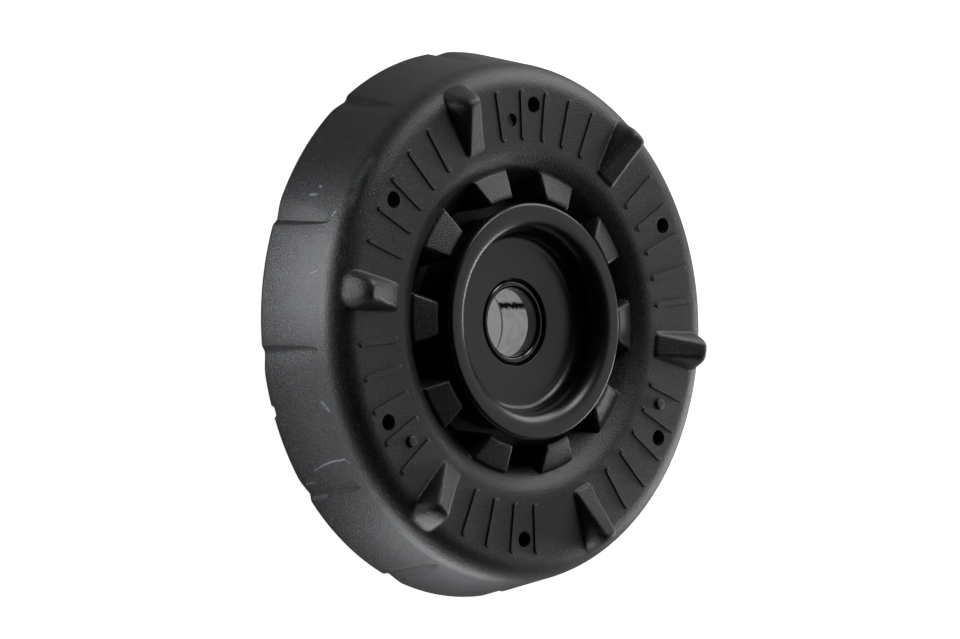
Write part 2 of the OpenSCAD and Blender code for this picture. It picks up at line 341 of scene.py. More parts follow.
def wall_radius(z):
    """Radius of the drafted wall at a height."""
    return BASE_R - (z - BASE_ROUND) * tan(WALL_DRAFT)


def wedge_crest(x):
    """Height of a wedge's crest line."""
    return FACE_Z + WEDGE_START_H + (x - WEDGE_IN_R) * WEDGE_SLOPE


def wedge_height(x, u):
    """Height of a wedge rib at a place along and across it: sloped crest, blunt start and domed nose."""
    side_fall = 1 / tan(WEDGE_DRAFT) / cos(WEDGE_RISE)
    end_fall = 1 / tan(WEDGE_LEAN) + WEDGE_SLOPE
    nose_x = WEDGE_OUT_R - WEDGE_HALF_TOP - (wedge_crest(WEDGE_OUT_R) - WEDGE_FOOT_Z) / end_fall
    past = np.maximum(x - nose_x, 0)
    away = (past**WEDGE_SQUARE + np.abs(u) ** WEDGE_SQUARE) ** (1 / WEDGE_SQUARE)
    fall = side_fall + (end_fall - side_fall) * (past / np.maximum(away, GUARD)) ** 2
    half_top = WEDGE_HALF_TOP + WEDGE_TOP_SPREAD * np.maximum(nose_x - x, 0)
    along = np.clip((x - WEDGE_IN_R) / (nose_x - WEDGE_IN_R), 0, 1)
    soft = WEDGE_EDGE_CRISP + (WEDGE_EDGE_SOFT - WEDGE_EDGE_CRISP) * along
    body = smooth_min(wedge_crest(x), wedge_crest(x) - fall * (away - half_top), soft)
    corner = np.abs(u) - WEDGE_HALF_START + WEDGE_START_ROUND
    corner = np.clip(corner, 0, WEDGE_START_ROUND * WEDGE_START_SPAN)
    start = WEDGE_IN_R + WEDGE_START_ROUND - np.sqrt(WEDGE_START_ROUND**2 - corner**2)
    front = FACE_Z + WEDGE_START_H + WEDGE_FRONT * (x - start)
    return np.where(x < nose_x, smooth_min(body, front, WEDGE_START_SOFT), body)


def fine_height(x, u):
    """Height of a fine rib above the face: a low bar with round ends and soft edges."""
    inner, outer = FINE_IN_R + FINE_HALF_W, FINE_OUT_R - FINE_HALF_W
    past = np.maximum(np.maximum(inner - x, x - outer), 0)
    share = np.clip((FINE_HALF_W + FINE_EDGE / 2 - np.hypot(past, u)) / FINE_EDGE, 0, 1)
    return FINE_H * share**2 * (3 - 2 * share)


def face_columns():
    """One row of data per column: middle of its cell, offset across it, half cell, and what stands there."""
    wedge = [0.6, 1.2, 1.6, 1.9, *np.arange(2.2, 7.0, 0.25)]
    fine = [0.7, 0.79, 0.83, 0.87, 0.91, 1.0, 1.2, 2.7]
    columns = []
    for k in range(WEDGE_COUNT):
        for j in range(FINE_COUNT + 1):
            offsets, half, kind = (wedge, PITCH, "wedge") if j == 0 else (fine, PITCH / 2, "fine")
            middle = SECTOR * k + (PITCH * (j + 0.5) if j else 0)
            if (k, j) == BARE_RIB:
                kind = "bare"
            columns.append((middle, None, half, kind))
            for offset in [-o for o in offsets[::-1]] + [0] + offsets:
                columns.append((middle, offset, half, kind))
    return columns


def face_rows():
    """Rows of the face as radius and height: flat, over the shoulder, and a little way down the wall."""
    flat = [48.9, 49.3, 49.5, 49.7, 49.9, 49.97, 50.03, 50.1, 50.25, 50.45, 50.7, 51, 51.4, 51.9, 52.5, 53.2,
            54.5, 56, 57.5, 59, 60.2, 61.2, 62, 62.6, 63, 63.25, 63.45, 63.65, 63.8, 63.9, 63.97]
    rows = [(r, FACE_Z) for r in flat]
    bend = [89.5, 89, 88, 86.5, 85, 83, 81, 79, 77, 75, 72.5, *np.arange(70, 34, -1.8), 32, 28, 24, 20, 16]
    for turn in np.radians(bend):
        rows.append((FACE_R + SHOULDER_ROUND * cos(turn), SHOULDER_Z + SHOULDER_ROUND * sin(turn)))
    for z in np.linspace(WALL_TOP_Z, WALL_JOIN_Z, 4):
        rows.append((wall_radius(z), z))
    return rows


def face(skin):
    """Adds the ribbed face and shoulder, and returns its inner and outer border rings."""
    middles, offsets, halves, kinds = zip(*face_columns())
    middle, half = np.radians(middles), np.radians(halves)
    border = np.array([offset is None for offset in offsets])
    offset = np.array([offset or 0.0 for offset in offsets])
    kind = np.array(kinds)
    rows = []
    for r, z in face_rows():
        turn = np.where(border, -half, np.arcsin(offset / r))
        x, u = r * np.cos(turn), r * np.sin(turn)
        height = np.full(len(kind), z)
        if r < WALL_TOP_R:
            height = np.where(kind == "fine", z + fine_height(x, u), height)
            wedge = smooth_max(height, wedge_height(x, u), WEDGE_FOOT_SOFT)
            height = np.where(kind == "wedge", wedge, height)
        rows.append(polar(r, middle + turn, height))
    add_grid(skin, np.array(rows), closed=True)
    return rows[0], rows[-1]


# %% [markdown]
# ## The fluted wall
# Twelve shallow flutes run up the wall and run out below the shoulder. Each has a steep side and a gentle
# side, and they alternate, so that neighbours stand nearer and further apart by turns. The wall grid's
# columns narrow with the flute, so its edges stay true.

# %% Wall sizes
FLUTE_COUNT = 12
FLUTE_TURN = 14.25
FLUTE_PULL = 1.15
FLUTE_STEEP_W = 1.7
FLUTE_GENTLE_W = 5.4
FLUTE_DEPTH = 1.0
FLUTE_SOFT = 0.3
FLUTE_TOP_Z = 18.2
FLUTE_LEAST = 0.2
WALL_START_Z = 18.6


def flute_share(z):
    """Share of a flute's base depth at a height, which runs out in a quarter ellipse."""
    return sqrt(max(0, 1 - (z / FLUTE_TOP_Z) ** 2))


def flute_cell(k, share):
    """Angles and dips of one flute's columns, where this share of its depth is left."""
    cell = radians(360 / FLUTE_COUNT)
    even = k % 2 == 0
    left, right = (FLUTE_STEEP_W, FLUTE_GENTLE_W) if even else (FLUTE_GENTLE_W, FLUTE_STEEP_W)
    pull = radians(-FLUTE_PULL if even else FLUTE_PULL)
    across = [0.1, 0.22, 0.4, 0.6, 0.8, 0.92, 1.0, 1.08, 1.25]
    across = [-a for a in across[::-1]] + [0] + across
    width = max(share, FLUTE_LEAST)
    places = [a * width * (right if a > 0 else left) for a in across]
    low, high = places[0] / BASE_R, places[-1] / BASE_R
    plain = np.linspace(0, 1, 7)[1:]
    turns = [low + (-cell / 2 - pull - low) * p for p in plain[::-1]]
    turns += [place / BASE_R for place in places]
    turns += [high + (cell / 2 - pull - high) * p for p in plain[:-1]]
    dips = []
    for turn in turns:
        place = turn * BASE_R
        dip = share - hypot(place, FLUTE_SOFT * share) / (right if place > 0 else left)
        dips.append(FLUTE_DEPTH * smooth_max(dip, 0.0, FLUTE_SOFT * share + GUARD))
    middle = radians(FLUTE_TURN) + cell * k + pull
    return [middle + turn for turn in turns], dips


def wall(skin):
    """Adds the fluted wall down to the rounded base edge, and returns its upper and lower border rings."""
    run_out = FLUTE_TOP_Z * np.sin(np.radians([90, 85, 80, 75, 69, 63, 57, 50, 43, 36, 29, 22, 15, 10]))
    rows = []
    for z in [WALL_START_Z, *run_out, 2.2, 1.5, 1.0, BASE_ROUND]:
        cells = [flute_cell(k, flute_share(z)) for k in range(FLUTE_COUNT)]
        turns = np.concatenate([cell[0] for cell in cells])
        dips = np.concatenate([cell[1] for cell in cells])
        rows.append(polar(wall_radius(z) - dips, turns, z))
    for bend in np.radians([-25, -50, -72, -90]):
        drop = BASE_ROUND * (1 + sin(bend))
        inset = BASE_ROUND * (1 - cos(bend))
        rows.append(polar(BASE_R - inset - dips, turns, drop))
    add_grid(skin, np.array(rows), closed=True)
    return rows[0], rows[-1]


# %% [markdown]
# ## The rubber, closed and pierced
# The hidden rest of the rubber follows the steel that it is bonded to, so a plain lathe closes the skin.
# Six pins held the seat ring in the mould and left holes, one gate left a pit and two left nubs, and the
# base edge has a small nick. Those are cut and joined as solids, with a small flare at each hole's rim.

# %% Rubber
PIN_CIRCLE_R = 60.0
PIN_R = 2.1
PIN_SINK = 1.0
PIN_FLARE = 0.25
FLARE_OVER = 0.4
PIN_TURN = SECTOR / 2 + PITCH / 2
GATE_CIRCLE_R = 55.7
GATE_R = 1.7
GATE_TURN = SECTOR / 2 + PITCH * 3 / 2
GATE_SINK = 1.2
GATE_H = 0.9
GATE_ROUND = 0.5
PIT_SECTOR = 1
PIT_FLARE = 0.2
NUB_SECTORS = (3, 5)
NUB_SINK = 1.0
NUB_TAPER = 0.1
MARK_OVER = 0.1
MARK_COLUMNS = 48
TOOL_CLEAR = 4.0
NICK_R = 2.0
NICK_HEIGHT = 1.5
NICK_DEPTH = 1.2
NICK_TURN = 205.5
NICK_TOOL = 10.0
BASE_INSET = 3.0
HIDDEN_COLUMNS = 180
RUBBER_SHARP = 45

floor_bend = (CUP_WALL_R - CUP_FLOOR_ROUND, CUP_FLOOR_Z + CUP_FLOOR_ROUND)
flange_bend = (SLEEVE_OUT_R + SLEEVE_BEND, FLANGE_TOP_Z + SLEEVE_BEND)


def rubber_inside():
    """Section of the bonded inside, from the groove round the cup to the base."""
    collar_out = RING_IN_R + RING_T + BOND
    return [
        (HUB_R, GROOVE_Z), (HUB_R, HUB_TOP_Z), (CUP_WALL_R + SHEET + BOND, HUB_TOP_Z),
        *arc(floor_bend, CUP_FLOOR_ROUND + SHEET + BOND, 0, -90),
        (SLEEVE_OUT_R + BOND, CUP_UNDER_Z - BOND),
        *arc(flange_bend, SLEEVE_BEND - BOND, 180, 270),
        (RING_IN_R - BOND, WEB_UNDER_Z), (RING_IN_R - BOND, COLLAR_TOP_Z + BOND),
        (collar_out, COLLAR_TOP_Z + BOND), (collar_out, RING_TOP_Z + BOND),
        (RING_OUT_R + BOND, RING_TOP_Z + BOND), (RING_OUT_R + BOND, 0), (BASE_R - BASE_INSET, 0),
    ]


def turned(name, section, columns):
    """A solid of revolution whose section starts and ends on its own axis."""
    skin = {"points": [], "faces": []}
    rings = [ring(r, z, columns) for r, z in section]
    add_grid(skin, np.array(rings), closed=True)
    return skin_object(name, skin)


def apply_boolean(piece, tool, operation):
    """Cuts or joins a tool solid and removes it."""
    modifier = piece.modifiers.new("cut", "BOOLEAN")
    modifier.operation = operation
    modifier.solver = "MANIFOLD"
    modifier.object = tool
    graph = bpy.context.evaluated_depsgraph_get()
    mesh = bpy.data.meshes.new_from_object(piece.evaluated_get(graph))
    piece.modifiers.clear()
    piece.data = mesh
    bpy.data.objects.remove(tool)


def place_mark(piece, section, circle_r, degrees_turn, operation):
    """Turns one mark's tool, stands it on its circle and applies it."""
    tool = turned("mark_tool", section, MARK_COLUMNS)
    turn = radians(degrees_turn)
    tool.location = (circle_r * cos(turn) * MM, circle_r * sin(turn) * MM, 0)
    bpy.context.view_layer.update()
    apply_boolean(piece, tool, operation)


def cut_nick(piece):
    """Cuts the small round nick in the base edge."""
    section = [(0, -NICK_TOOL), (NICK_R, -NICK_TOOL), (NICK_R, NICK_TOOL), (0, NICK_TOOL)]
    nick = turned("nick_tool", section, MARK_COLUMNS)
    turn = radians(NICK_TURN)
    nick.rotation_euler = (0, radians(90), turn)
    reach = BASE_R - NICK_DEPTH + NICK_TOOL
    nick.location = Vector((reach * cos(turn), reach * sin(turn), NICK_HEIGHT - NICK_R)) * MM
    bpy.context.view_layer.update()
    apply_boolean(piece, nick, "DIFFERENCE")


def mould_marks(piece):
    """Cuts the pin holes, the pit and the nick, and adds the nubs."""
    top = FACE_Z + TOOL_CLEAR
    pin_foot = RING_TOP_Z - PIN_SINK
    pin_rim = PIN_R + PIN_FLARE * (1 + FLARE_OVER)
    pin = [(0, pin_foot), (PIN_R, pin_foot), (PIN_R, FACE_Z - PIN_FLARE),
           (pin_rim, FACE_Z + PIN_FLARE * FLARE_OVER), (pin_rim, top), (0, top)]
    pit_foot = FACE_Z - GATE_SINK
    pit_rim = GATE_R + PIT_FLARE + MARK_OVER
    pit = [(0, pit_foot), *arc((GATE_R - GATE_ROUND, pit_foot + GATE_ROUND), GATE_ROUND, -90, 0, 4),
           (GATE_R, FACE_Z - PIT_FLARE), (pit_rim, FACE_Z + MARK_OVER), (pit_rim, top), (0, top)]
    nub_round = (GATE_R - GATE_ROUND - NUB_TAPER, FACE_Z + GATE_H - GATE_ROUND)
    nub = [(0, FACE_Z - NUB_SINK), (GATE_R, FACE_Z - NUB_SINK), (GATE_R, FACE_Z + MARK_OVER),
           *arc(nub_round, GATE_ROUND, 10, 90, 5), (0, FACE_Z + GATE_H)]
    for k in range(WEDGE_COUNT):
        place_mark(piece, pin, PIN_CIRCLE_R, SECTOR * k + PIN_TURN, "DIFFERENCE")
    place_mark(piece, pit, GATE_CIRCLE_R, SECTOR * PIT_SECTOR + GATE_TURN, "DIFFERENCE")
    for k in NUB_SECTORS:
        place_mark(piece, nub, GATE_CIRCLE_R, SECTOR * k + GATE_TURN, "UNION")
    cut_nick(piece)


rubber_skin = {"points": [], "faces": []}
recess_in, recess_out = recess(rubber_skin)
face_in, face_out = face(rubber_skin)
wall_up, wall_low = wall(rubber_skin)
inside = [ring(r, z, HIDDEN_COLUMNS) for r, z in rubber_inside()]
add_grid(rubber_skin, np.array(inside), closed=True)
add_zip(rubber_skin, inside[0], recess_in)
add_zip(rubber_skin, recess_out, face_in)
add_zip(rubber_skin, face_out, wall_up)
add_zip(rubber_skin, wall_low, inside[-1])
rubber = skin_object("rubber_ring", rubber_skin)
mould_marks(rubber)
shade(rubber, RUBBER_SHARP)
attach(rubber, "root")
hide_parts("rubber_isolator")
print("rubber faces after marks", len(rubber.data.polygons))

# %% [markdown]
# ## The drawn steel pieces
# The cup and the sleeve are deep drawn from sheet, so their sections are one sheet thickness throughout
# with round bends, and every punched edge has a small round. Fine lathes with many columns give them the
# smooth long highlights of pressed and coated steel.

# %% Steel pieces
STEEL_COLUMNS = 192
STEEL_SHARP = 40
EDGE = 0.25


def cup_section():
    """Section of the cup: hole, floor, wall and rolled flange."""
    bend = (CUP_WALL_R + CUP_BEND, CUP_TOP_Z - CUP_BEND)
    lip = (CUP_FLANGE_R - SHEET / 2, CUP_TOP_Z - SHEET / 2)
    return [
        *arc((CUP_HOLE_R + EDGE, CUP_UNDER_Z + EDGE), EDGE, 270, 180, 4),
        *arc((CUP_HOLE_R + EDGE, CUP_FLOOR_Z - EDGE), EDGE, 180, 90, 4),
        *arc(floor_bend, CUP_FLOOR_ROUND, -90, 0, 16),
        *arc(bend, CUP_BEND, 180, 90, 20),
        *arc(lip, SHEET / 2, 90, -90, 16),
        *arc(bend, CUP_BEND - SHEET, 90, 180, 12),
        *arc(floor_bend, CUP_FLOOR_ROUND + SHEET, 0, -90, 16),
    ]


def sleeve_section():
    """Section of the sleeve: neck, closed end, tube and lower flange."""
    floor_z = CUP_UNDER_Z - SHEET
    neck_half = (CUP_HOLE_R - NECK_GAP - ROD_HOLE_R) / 2
    neck = (ROD_HOLE_R + neck_half, CUP_FLOOR_Z - NECK_DROP - neck_half)
    corner = (SLEEVE_OUT_R - SLEEVE_CORNER, CUP_UNDER_Z - SLEEVE_CORNER)
    lip = (SLEEVE_FLANGE_R - SHEET / 2, SLEEVE_LIFT + SHEET / 2)
    return [
        (SLEEVE_R, floor_z - EDGE), (SLEEVE_R - EDGE, floor_z), (ROD_HOLE_R + EDGE, floor_z),
        (ROD_HOLE_R, floor_z + EDGE),
        *arc(neck, neck_half, 180, 0, 14),
        (ROD_HOLE_R + 2 * neck_half, CUP_UNDER_Z - SLEEVE_SEAT),
        *arc(corner, SLEEVE_CORNER, 90, 0, 8),
        *arc(flange_bend, SLEEVE_BEND, 180, 270, 8),
        *arc(lip, SHEET / 2, 90, -90, 12),
        *arc(flange_bend, SLEEVE_BEND + SHEET, 270, 180, 14),
    ]


def ring_section():
    """Section of the seat ring: flat seat, bend and upturned collar."""
    collar = RING_IN_R + RING_T
    return [
        *arc((RING_IN_R + RING_BEND, RING_LIFT + RING_BEND), RING_BEND, 180, 270, 6),
        *arc((RING_OUT_R - EDGE, RING_LIFT + EDGE), EDGE, -90, 0, 3),
        *arc((RING_OUT_R - EDGE, RING_TOP_Z - EDGE), EDGE, 0, 90, 3),
        (collar + RING_CREASE, RING_TOP_Z),
        (collar, RING_TOP_Z + RING_CREASE),
        *arc((collar - EDGE, COLLAR_TOP_Z - EDGE), EDGE, 0, 90, 3),
        *arc((RING_IN_R + EDGE, COLLAR_TOP_Z - EDGE), EDGE, 90, 180, 3),
    ]


steel = {}
for name, section, node, slot in (
    ("drawn_cup", cup_section(), "upper_cup", "cup_coat"),
    ("drawn_sleeve", sleeve_section(), "lower_sleeve", "sleeve_coat"),
    ("pressed_ring", ring_section(), "seat_ring", "ring_steel"),
):
    steel[name] = lathe(name, section, STEEL_COLUMNS)
    shade(steel[name], STEEL_SHARP)
    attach(steel[name], "root")
    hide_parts(node)

# %% [markdown]
# ## Finishes
# Each finish starts from what the surface really is. Colours are written as sRGB hex and turned to linear
# light by one function, and each pattern's scale comes from a size in millimetres.


# %% Material tools
def linear(hex_colour):
    """An sRGB hex colour as linear red, green, blue and alpha."""
    parts = [int(hex_colour[i : i + 2], 16) / 255 for i in (1, 3, 5)]
    return (*[p / 12.92 if p <= 0.04045 else ((p + 0.055) / 1.055) ** 2.4 for p in parts], 1.0)


def set_inputs(tree, node, inputs):
    """Sets a node's inputs to values, or links them to other nodes."""
    for key, value in inputs.items():
        if isinstance(value, bpy.types.NodeSocket):
            tree.links.new(value, node.inputs[key])
        else:
            node.inputs[key].default_value = value


def add(tree, kind, inputs=None, **settings):
    """Adds a node, sets its properties, and sets or links its inputs."""
    made = tree.nodes.new(kind)
    for name, value in settings.items():
        setattr(made, name, value)
    set_inputs(tree, made, inputs or {})
    return made


def calculate(tree, operation, *values, clamp=False):
    """The result of a sum on values."""
    made = add(tree, "ShaderNodeMath", dict(enumerate(values)), operation=operation, use_clamp=clamp)
    return made.outputs[0]


def vectors(tree, operation, *values, output="Vector"):
    """The result of a sum on vectors, as a vector or a value."""
    made = add(tree, "ShaderNodeVectorMath", dict(enumerate(values)), operation=operation)
    return made.outputs[output]


def remap(tree, value, source=(0.0, 1.0), target=(0.0, 1.0)):
    """A value carried from one range to another and kept inside it."""
    ends = dict(zip(("From Min", "From Max", "To Min", "To Max"), (*source, *target)))
    return add(tree, "ShaderNodeMapRange", {"Value": value, **ends}).outputs[0]


def noise(tree, place, size, detail, roughness=0.5):
    """A cloudy pattern with features of about this many millimetres."""
    inputs = {"Vector": place, "Scale": 1 / (size * MM), "Detail": detail, "Roughness": roughness}
    return add(tree, "ShaderNodeTexNoise", inputs).outputs["Fac"]


def blend(tree, share, first, second):
    """One colour that gives way to a second by a share."""
    inputs = {"Factor": share, "A": first, "B": second}
    return add(tree, "ShaderNodeMix", inputs, data_type="RGBA").outputs["Result"]


def relief(tree, height, strength, depth):
    """A surface direction that follows a pattern of this depth in millimetres."""
    inputs = {"Height": height, "Strength": strength, "Distance": depth * MM}
    return add(tree, "ShaderNodeBump", inputs).outputs["Normal"]


def new_material(name):
    """An empty node material, its tree, shader and object-space position."""
    made = bpy.data.materials.new(name)
    made.use_nodes = True
    tree = made.node_tree
    shader = tree.nodes["Principled BSDF"]
    place = add(tree, "ShaderNodeTexCoord").outputs["Object"]
    return made, tree, shader, place


# %% Moulded rubber
# Carbon-filled natural rubber, moulded in a blasted steel mould: charcoal black and dry, with a fine grain
# that breaks its weak gloss into a speckled sheen, pale specks in that grain that are partly dust and partly
# painted glints of that sheen, and a thin uneven bloom.
# Rubbing against other parts has left pale scuffs on the wall, and one wide faint streak along the shoulder
# is a painted highlight drawn the same way. Each line has a half width in millimetres, a strength, and the
# points that it runs through on the wall or shoulder, each as an angle in degrees and a height in
# millimetres.
# A gloss is the least and the most roughness, and a span is the part of a pattern that counts.
RUBBER_DARK = "#0b0c0d"
RUBBER_BLOOM = "#0f1011"
RUBBER_DUST_AND_GLINT = "#5c5e62"
RUBBER_SCUFF_AND_SHEEN = "#9a9ea2"
RUBBER_IOR = 1.52
RUBBER_GLOSS = (0.28, 0.5)
BLOOM_SIZE = 14
BLOOM_SPAN = (0.35, 0.7)
GRAIN_SIZE = 0.42
GRAIN_DEPTH = 0.16
GRAIN_STRENGTH = 0.9
DUST_AND_GLINT_SPAN = (0.54, 0.74)
DUST_AND_GLINT_MOST = 0.55
SCUFF_AND_SHEEN_SPAN = (0.35, 0.55)
SCUFF_AND_SHEEN_FADE = 1.3
SCUFFS_AND_SHEEN = (
    (0.22, 0.6, ((219.5, 7), (218.5, 10.5))),
    (0.28, 1.0, ((218.5, 10.5), (218, 14.5), (218, 18))),
    (0.22, 0.6, ((218, 18), (219, 19))),
    (0.45, 0.6, ((204.5, 17), (206.5, 18.5))),
    (0.6, 0.3, ((222.5, 2), (222.5, 5))),
    (0.7, 0.35, ((226, 1.5), (226, 6))),
    (0.4, 0.5, ((159.5, 9.5), (159.5, 11.5))),
    (0.4, 0.6, ((157.5, 11.5), (157.5, 12))),
    (0.35, 0.5, ((164, 19), (163, 19.5))),
    (0.2, 0.35, ((177, 15.5), (176.5, 17.5))),
    # The last line is a painted highlight: a pale streak along the shoulder, drawn like a scuff.
    (1.1, 0.16, ((149, 23), (155, 22.5), (160.5, 23))),
)


def wall_point(turn, z):
    """Point of the wall, or of the shoulder above it, at an angle and a height."""
    r = wall_radius(z)
    if z > WALL_TOP_Z:
        r = FACE_R + sqrt(SHOULDER_ROUND**2 - (z - SHOULDER_Z) ** 2)
    return Vector((r * cos(radians(turn)), r * sin(radians(turn)), z))


def scuff_and_sheen_line(tree, place, start, end, half_width, strength):
    """Mask that has a strength on a line between two points and fades to zero beside it."""
    run = end - start
    away = vectors(tree, "SUBTRACT", place, start * MM)
    share = vectors(tree, "DOT_PRODUCT", away, run / run.length_squared / MM, output="Value")
    share = calculate(tree, "ADD", share, 0.0, clamp=True)
    nearest = add(tree, "ShaderNodeVectorMath", {0: run * MM, "Scale": share}, operation="SCALE").outputs[0]
    gap = vectors(tree, "DISTANCE", away, nearest, output="Value")
    return remap(tree, gap, (0.0, half_width * SCUFF_AND_SHEEN_FADE * MM), (strength, 0.0))


def moulded_rubber():
    """Black rubber with bloom, grain, pale specks that are dust and painted glints, scuffs and a painted
    highlight.
    """
    made, tree, shader, place = new_material("moulded_carbon_rubber")
    bloom = noise(tree, place, BLOOM_SIZE, 5.0, 0.6)
    colour = add(tree, "ShaderNodeValToRGB", {"Fac": bloom})
    dark, pale = colour.color_ramp.elements
    dark.position = BLOOM_SPAN[0]
    dark.color = linear(RUBBER_DARK)
    pale.position = BLOOM_SPAN[1]
    pale.color = linear(RUBBER_BLOOM)
    grain = noise(tree, place, GRAIN_SIZE, 2.0, 0.7)
    # Pale specks in the grain: partly dust, partly painted glints that stand in for the sheen's sparkle.
    dust_and_glint = remap(tree, grain, DUST_AND_GLINT_SPAN, (0.0, DUST_AND_GLINT_MOST))
    dusty_and_glinting = blend(tree, dust_and_glint, colour.outputs["Color"], linear(RUBBER_DUST_AND_GLINT))
    worn_and_sheen = 0.0
    # Pale scuffs on the wall and the painted shoulder highlight, gathered in one mask.
    for half_width, strength, stops in SCUFFS_AND_SHEEN:
        points = [wall_point(*stop) for stop in stops]
        for start, end in zip(points, points[1:]):
            worn_and_sheen = calculate(tree, "MAXIMUM", worn_and_sheen, scuff_and_sheen_line(tree, place, start, end, half_width, strength))
    worn_and_sheen = calculate(tree, "MULTIPLY", worn_and_sheen, remap(tree, grain, SCUFF_AND_SHEEN_SPAN))
    set_inputs(tree, shader, {
        "Base Color": blend(tree, worn_and_sheen, dusty_and_glinting, linear(RUBBER_SCUFF_AND_SHEEN)),
        "Normal": relief(tree, grain, GRAIN_STRENGTH, GRAIN_DEPTH),
        "Roughness": remap(tree, grain, target=RUBBER_GLOSS),
        "IOR": RUBBER_IOR,
    })
    return made


# %% Dip-coated steel
# Drawn steel with a black electro-dip coat: thin, even and satin, so bends carry soft narrow highlights.
COAT_COLOUR = "#0a0a0b"
COAT_IOR = 1.5
COAT_GLOSS = (0.26, 0.36)
PEEL_SIZE = 0.8
PEEL_DEPTH = 0.05
PEEL_STRENGTH = 0.08


def dip_coated_steel():
    """Satin black coat with a faint peel."""
    made, tree, shader, place = new_material("satin_dip_coated_steel")
    peel = noise(tree, place, PEEL_SIZE, 2.0)
    set_inputs(tree, shader, {
        "Base Color": linear(COAT_COLOUR),
        "Normal": relief(tree, peel, PEEL_STRENGTH, PEEL_DEPTH),
        "Roughness": remap(tree, peel, target=COAT_GLOSS),
        "IOR": COAT_IOR,
    })
    return made


# %% Sleeve steel
# The sleeve has the same coat on its neck and outside, and glossier there. Its bore was masked and is bare
# drawn steel: pale grey metal with soft marks from the punch, and a dark uneven band along it that is a
# painted dark reflection. The band's half width and wander are angles in radians.
REFLECTION_BAND_TURN = 25.0
REFLECTION_BAND_HALF = 0.05
REFLECTION_BAND_FADE = 2.5
REFLECTION_BAND_WANDER = 0.3
PUNCH_SIZE = 2.5
BORE_MARGIN = 0.1
BORE_GREY = (0.35, 0.85)
SLEEVE_GLOSS = (0.14, 0.38)


def sleeve_steel():
    """Glossy black coat outside, and bare metal with a painted dark reflection band in the bore."""
    made, tree, shader, place = new_material("part_coated_sleeve_steel")
    axes = add(tree, "ShaderNodeSeparateXYZ", {0: place}).outputs
    flat = add(tree, "ShaderNodeCombineXYZ", {"X": axes["X"], "Y": axes["Y"]}).outputs[0]
    radius = vectors(tree, "LENGTH", flat, output="Value")
    inside = calculate(tree, "LESS_THAN", radius, (SLEEVE_R + BORE_MARGIN) * MM)
    below = calculate(tree, "LESS_THAN", axes["Z"], (CUP_UNDER_Z - SHEET) * MM)
    bare = calculate(tree, "MULTIPLY", inside, below)
    marks = noise(tree, place, PUNCH_SIZE, 5.0, 0.65)
    # A dark uneven band along the bore: a painted dark reflection in the metal's colour.
    turn = calculate(tree, "ARCTAN2", axes["Y"], axes["X"])
    off_band = calculate(tree, "SUBTRACT", turn, calculate(tree, "MULTIPLY", marks, REFLECTION_BAND_WANDER))
    off_band = calculate(tree, "SUBTRACT", off_band, radians(REFLECTION_BAND_TURN))
    off_band = calculate(tree, "ABSOLUTE", off_band)
    clear = remap(tree, off_band, (REFLECTION_BAND_HALF, REFLECTION_BAND_HALF * REFLECTION_BAND_FADE))
    metal = calculate(tree, "MULTIPLY", remap(tree, marks, target=BORE_GREY), clear)
    grey = add(tree, "ShaderNodeCombineColor", {"Red": metal, "Green": metal, "Blue": metal}).outputs[0]
    set_inputs(tree, shader, {
        "Base Color": blend(tree, bare, linear(COAT_COLOUR), grey),
        "Metallic": bare,
        "Roughness": remap(tree, bare, target=SLEEVE_GLOSS),
    })
    return made


# %% Give each piece its finish
rubber.data.materials.clear()
rubber.data.materials.append(moulded_rubber())
coat = dip_coated_steel()
for name, finish in (("drawn_cup", coat), ("drawn_sleeve", sleeve_steel()), ("pressed_ring", coat)):
    steel[name].data.materials.append(finish)
print("finishes", [m.name for m in bpy.data.materials if m.users])

# %% [markdown]
# ## Studio
# The part lies on its base on a pale floor. The camera stands about 46 degrees above it and is rolled a
# quarter turn, which shows the part as if it stood on its edge. A long lens from far off keeps it flat.

# %% Camera
CAMERA_AIM = (-6.35, 0.136, 13.0)
CAMERA_DISTANCE = 1464.9
CAMERA_AZIMUTH = -170.969
CAMERA_ELEVATION = 46.048
CAMERA_ROLL = 87.817
CAMERA_LENS = 198.76
CAMERA_SENSOR = 36
CAMERA_FAR = 20

azimuth, elevation = radians(CAMERA_AZIMUTH), radians(CAMERA_ELEVATION)
back = Vector((cos(elevation) * cos(azimuth), cos(elevation) * sin(azimuth), sin(elevation)))
camera = bpy.data.objects.new("camera", bpy.data.cameras.new("camera"))
camera.data.lens = CAMERA_LENS
camera.data.sensor_width = CAMERA_SENSOR
camera.data.clip_end = CAMERA_FAR
camera.rotation_mode = "QUATERNION"
camera.rotation_quaternion = back.to_track_quat("Z", "Y") @ Quaternion((0, 0, 1), radians(CAMERA_ROLL))
camera.location = (Vector(CAMERA_AIM) + back * CAMERA_DISTANCE) * MM
bpy.context.scene.collection.objects.link(camera)
bpy.context.scene.camera = camera

# %% [markdown]
# The floor is pale and matt. Seen directly it is lifted to white, and it still takes the part's soft
# shadow. In the rubber's sheen it is dark near the part and paler further off. Softboxes beyond the part
# light the face, the blocks and the wedge crests, and narrow cards close to the floor light the wall.

# %% Floor
# The reach is in metres, and the drop and the radii are in millimetres. The drop keeps the floor just
# clear of the base.
FLOOR_REACH = 6.0
FLOOR_DROP = 0.05
FLOOR_COLOUR = "#d8d8d8"
FLOOR_EDGE = (BASE_R - 4, BASE_R - 1)
FLOOR_FAR = (130, 240)
FLOOR_LIFT = 0.9
FLOOR_SHADE = 0.22
FLOOR_NEAR_GLOSS = 0.0
FLOOR_FAR_GLOSS = 0.45
FLOOR_UNDER_GLOSS = 0.38


